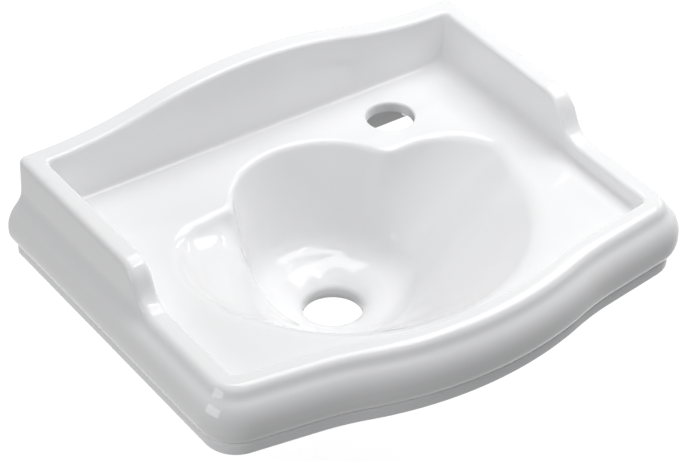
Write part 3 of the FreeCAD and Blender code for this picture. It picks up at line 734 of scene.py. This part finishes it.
def screw_thread_tree():
    """Geometry nodes that wind a screw thread round the Y axis and join it to the bolt that comes in."""
    tree = bpy.data.node_groups.new("screw_thread", "GeometryNodeTree")
    tree.interface.new_socket("Bolt", in_out="INPUT", socket_type="NodeSocketGeometry")
    for name in ("Crest Radius", "Depth", "Pitch", "Length"):
        tree.interface.new_socket(name, in_out="INPUT", socket_type="NodeSocketFloat")
    tree.interface.new_socket("Start", in_out="INPUT", socket_type="NodeSocketVector")
    tree.interface.new_socket("Finish", in_out="INPUT", socket_type="NodeSocketMaterial")
    tree.interface.new_socket("Bolt", in_out="OUTPUT", socket_type="NodeSocketGeometry")
    given = tree.nodes.new("NodeGroupInput").outputs
    result = tree.nodes.new("NodeGroupOutput")
    turns = add_node(tree, "ShaderNodeMath", operation="DIVIDE")
    centre = add_node(tree, "ShaderNodeMath", operation="SUBTRACT")
    helix = add_node(tree, "GeometryNodeCurveSpiral", Resolution=20)
    upright = add_node(tree, "GeometryNodeSetCurveNormal", mode="Z_UP")
    section = add_node(tree, "GeometryNodeCurvePrimitiveCircle", Resolution=4)
    wind = add_node(tree, "GeometryNodeCurveToMesh")
    wind.inputs["Fill Caps"].default_value = True
    lay = add_node(tree, "GeometryNodeTransform", Rotation=(-math.pi / 2, 0, 0))
    join = tree.nodes.new("GeometryNodeJoinGeometry")
    real = tree.nodes.new("GeometryNodeRealizeInstances")
    finish = tree.nodes.new("GeometryNodeSetMaterial")
    wire(
        tree,
        (given["Length"], turns.inputs[0]), (given["Pitch"], turns.inputs[1]),
        (given["Crest Radius"], centre.inputs[0]), (given["Depth"], centre.inputs[1]),
        (turns.outputs[0], helix.inputs["Rotations"]), (given["Length"], helix.inputs["Height"]),
        (centre.outputs[0], helix.inputs["Start Radius"]), (centre.outputs[0], helix.inputs["End Radius"]),
        (given["Depth"], section.inputs["Radius"]),
        (helix.outputs["Curve"], upright.inputs["Curve"]), (upright.outputs["Curve"], wind.inputs["Curve"]),
        (section.outputs["Curve"], wind.inputs["Profile Curve"]), (wind.outputs["Mesh"], lay.inputs["Geometry"]),
        (given["Start"], lay.inputs["Translation"]),
        (lay.outputs["Geometry"], join.inputs["Geometry"]), (given["Bolt"], join.inputs["Geometry"]),
        (join.outputs["Geometry"], real.inputs["Geometry"]), (real.outputs["Geometry"], finish.inputs["Geometry"]),
        (given["Finish"], finish.inputs["Material"]), (finish.outputs["Geometry"], result.inputs["Bolt"]),
    )
    return tree


def wind_thread(piece, tree, start, length, pitch, depth, material):
    """Thread of the given pitch and depth on a bolt, from start along +Y."""
    thread = piece.modifiers.new("thread", "NODES")
    thread.node_group = tree
    values = {
        "Crest Radius": BOLT_RADIUS * MM, "Depth": depth * MM, "Pitch": pitch * MM, "Length": length * MM,
        "Start": Vector(start) * MM, "Finish": material,
    }
    for item in tree.interface.items_tree:
        if item.in_out == "INPUT" and item.name in values:
            thread[item.identifier] = values[item.name]


def make_hanger_bolt(name, node, tree, material):
    """Double-ended bolt in its node's place: coarse thread in the wall, fine thread through the basin."""
    low, high = (Vector(corner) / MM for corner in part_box(node))
    across = (low.x + high.x) / 2
    front, tip = low.y, high.y
    point = tip - POINT_LENGTH
    fine_root, coarse_root = BOLT_RADIUS - FINE_DEPTH, BOLT_RADIUS - COARSE_DEPTH
    profile = [
        (2.9, front), (fine_root, front + 0.8), (fine_root, WAIST_START), (BOLT_WAIST_RADIUS, WAIST_START + 0.3),
        (BOLT_WAIST_RADIUS, 0.0), (coarse_root, 1.0), (coarse_root, point), (0.8, tip),
    ]
    bolt = link(name, turned_mesh(name, profile, (across, 0.0, 0.0), "Y", 32))
    fine_start, coarse_start = (across, front + 1.0, 0.0), (across, 2.5, 0.0)
    wind_thread(bolt, tree, fine_start, WAIST_START - front - 2.0, FINE_PITCH, FINE_DEPTH, material)
    wind_thread(bolt, tree, coarse_start, point - 5.0, COARSE_PITCH, COARSE_DEPTH, material)
    return finished(bolt)


# ---------------------------------------------------------------- finishes
def finish_material(name, colour, roughness, metallic=0.0, grain=900.0, lift=0.00002, spread=0.02):
    """Finish whose colour and gloss vary a little over the surface, with a fine grain."""
    material = bpy.data.materials.new(name)
    material.use_nodes = True
    tree = material.node_tree
    shader = tree.nodes["Principled BSDF"]
    shader.inputs["Metallic"].default_value = metallic
    place = tree.nodes.new("ShaderNodeTexCoord")
    cloud = add_node(tree, "ShaderNodeTexNoise", Scale=14.0, Detail=3.0)
    shade = tree.nodes.new("ShaderNodeValToRGB")
    darker, full = shade.color_ramp.elements
    darker.position, full.position = 0.3, 0.7
    darker.color = (*(max(0.0, part - spread) for part in colour), 1)
    full.color = (*colour, 1)
    gloss = tree.nodes.new("ShaderNodeMapRange")
    gloss.inputs["To Min"].default_value = roughness * 0.85
    gloss.inputs["To Max"].default_value = roughness * 1.15
    fine = add_node(tree, "ShaderNodeTexNoise", Scale=grain)
    bump = add_node(tree, "ShaderNodeBump", Strength=0.15, Distance=lift)
    wire(
        tree,
        (place.outputs["Object"], cloud.inputs["Vector"]), (place.outputs["Object"], fine.inputs["Vector"]),
        (cloud.outputs["Fac"], shade.inputs["Fac"]), (shade.outputs["Color"], shader.inputs["Base Color"]),
        (cloud.outputs["Fac"], gloss.inputs["Value"]), (gloss.outputs["Result"], shader.inputs["Roughness"]),
        (fine.outputs["Fac"], bump.inputs["Height"]), (bump.outputs["Normal"], shader.inputs["Normal"]),
    )
    return material


def bare_where_it_meets_the_wall(material, matt):
    """The back rim's face that lies on the wall has no glaze: it is matt there."""
    tree = material.node_tree
    shader = tree.nodes["Principled BSDF"]
    glossy = shader.inputs["Roughness"].links[0].from_socket
    place = tree.nodes.new("ShaderNodeTexCoord")
    split = tree.nodes.new("ShaderNodeSeparateXYZ")
    edge = tree.nodes.new("ShaderNodeMapRange")
    edge.inputs["From Min"].default_value = -0.0010
    edge.inputs["From Max"].default_value = -0.0003
    mix = tree.nodes.new("ShaderNodeMix")
    mix.inputs["B"].default_value = matt
    wire(
        tree,
        (place.outputs["Object"], split.inputs["Vector"]), (split.outputs["Y"], edge.inputs["Value"]),
        (edge.outputs["Result"], mix.inputs["Factor"]), (glossy, mix.inputs["A"]),
        (mix.outputs["Result"], shader.inputs["Roughness"]),
    )


glaze = finish_material("white_glaze", (0.90, 0.90, 0.905), 0.055, grain=45.0, lift=0.00008, spread=0.006)
bare_where_it_meets_the_wall(glaze, 0.7)
zinc = finish_material("bright_zinc", (0.70, 0.71, 0.73), 0.30, metallic=1.0, spread=0.06)
nylon = finish_material("white_nylon", (0.82, 0.82, 0.79), 0.45, spread=0.03)

basin = make_basin()
basin.data.materials.clear()
basin.data.materials.append(glaze)
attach(basin, "root")
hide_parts("basin_body")

thread_tree = screw_thread_tree()
for side in ("left", "right"):
    bolt = make_hanger_bolt(f"threaded_bolt_{side}", f"hanger_bolt_{side}", thread_tree, zinc)
    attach(bolt, "root")
    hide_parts(f"hanger_bolt_{side}")
    for kind, finish in (("bush", nylon), ("washer", zinc), ("nut", zinc)):
        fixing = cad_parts[f"fixing_{kind}_{side}"]
        fixing.data.materials.clear()
        fixing.data.materials.append(finish)


# ---------------------------------------------------------------- floor, lights and camera
def seen_directly(tree):
    """1 for rays from the camera and for rays that a gloss or a glass sends on, else 0."""
    path = tree.nodes.new("ShaderNodeLightPath")
    gloss = add_node(tree, "ShaderNodeMath", operation="MAXIMUM")
    glass = add_node(tree, "ShaderNodeMath", operation="MAXIMUM")
    wire(
        tree,
        (path.outputs["Is Camera Ray"], gloss.inputs[0]), (path.outputs["Is Glossy Ray"], gloss.inputs[1]),
        (gloss.outputs[0], glass.inputs[0]), (path.outputs["Is Transmission Ray"], glass.inputs[1]),
    )
    return glass.outputs[0]


def floor_material():
    """Pale floor whose glow reaches only the eye and reflections, so it looks white and keeps a soft shadow."""
    material = bpy.data.materials.new("pale_floor")
    material.use_nodes = True
    tree = material.node_tree
    shader = tree.nodes["Principled BSDF"]
    shader.inputs["Base Color"].default_value = (0.30, 0.30, 0.30, 1)
    shader.inputs["Roughness"].default_value = 1.0
    shader.inputs["Specular IOR Level"].default_value = 0.0
    glow = tree.nodes.new("ShaderNodeEmission")
    strength = add_node(tree, "ShaderNodeMath", operation="MULTIPLY")
    strength.inputs[1].default_value = 0.86
    both = tree.nodes.new("ShaderNodeAddShader")
    wire(
        tree,
        (seen_directly(tree), strength.inputs[0]), (strength.outputs[0], glow.inputs["Strength"]),
        (shader.outputs["BSDF"], both.inputs[0]), (glow.outputs["Emission"], both.inputs[1]),
        (both.outputs["Shader"], tree.nodes["Material Output"].inputs["Surface"]),
    )
    return material


def light_the_room():
    """Even, dim light from all round, while the eye and reflections see white."""
    world = bpy.data.worlds.new("studio")
    bpy.context.scene.world = world
    world.use_nodes = True
    tree = world.node_tree
    room = tree.nodes["Background"]
    room.inputs["Color"].default_value = (0.97, 0.98, 1, 1)
    room.inputs["Strength"].default_value = 0.26
    white = add_node(tree, "ShaderNodeBackground", Color=(1, 1, 1, 1), Strength=1.0)
    mix = tree.nodes.new("ShaderNodeMixShader")
    wire(
        tree,
        (seen_directly(tree), mix.inputs["Fac"]),
        (room.outputs["Background"], mix.inputs[1]), (white.outputs["Background"], mix.inputs[2]),
        (mix.outputs["Shader"], tree.nodes["World Output"].inputs["Surface"]),
    )


def softbox(name, place, width, height, power):
    lamp = bpy.data.lights.new(name, "AREA")
    lamp.shape = "RECTANGLE"
    lamp.size, lamp.size_y = width, height
    lamp.energy = power
    piece = link(name, lamp)
    piece.location = place
    piece.rotation_mode = "QUATERNION"
    piece.rotation_quaternion = (Vector(LAMP_AIM) - Vector(place)).to_track_quat("-Z", "Y")


corners = [(x * STUDIO_REACH, y * STUDIO_REACH, STUDIO_FLOOR) for x, y in ((-1, -1), (1, -1), (1, 1), (-1, 1))]
floor_mesh = bpy.data.meshes.new("floor")
floor_mesh.from_pydata(corners, [], [(0, 1, 2, 3)])
floor = link("floor", floor_mesh)
floor.data.materials.append(floor_material())

light_the_room()
for lamp_values in LAMPS:
    softbox(*lamp_values)

camera_data = bpy.data.cameras.new("camera")
camera_data.sensor_width = 36.0
camera_data.lens = CAMERA_LENS
camera_data.shift_x = CAMERA_SHIFT
camera_data.clip_start, camera_data.clip_end = 0.05, 50
camera = link("camera", camera_data)
camera.location = CAMERA_PLACE
camera.rotation_mode = "QUATERNION"
camera.rotation_quaternion = CAMERA_VIEW.to_track_quat("-Z", "Y")
bpy.context.scene.camera = camera

bpy.context.scene.view_settings.view_transform = "Standard"
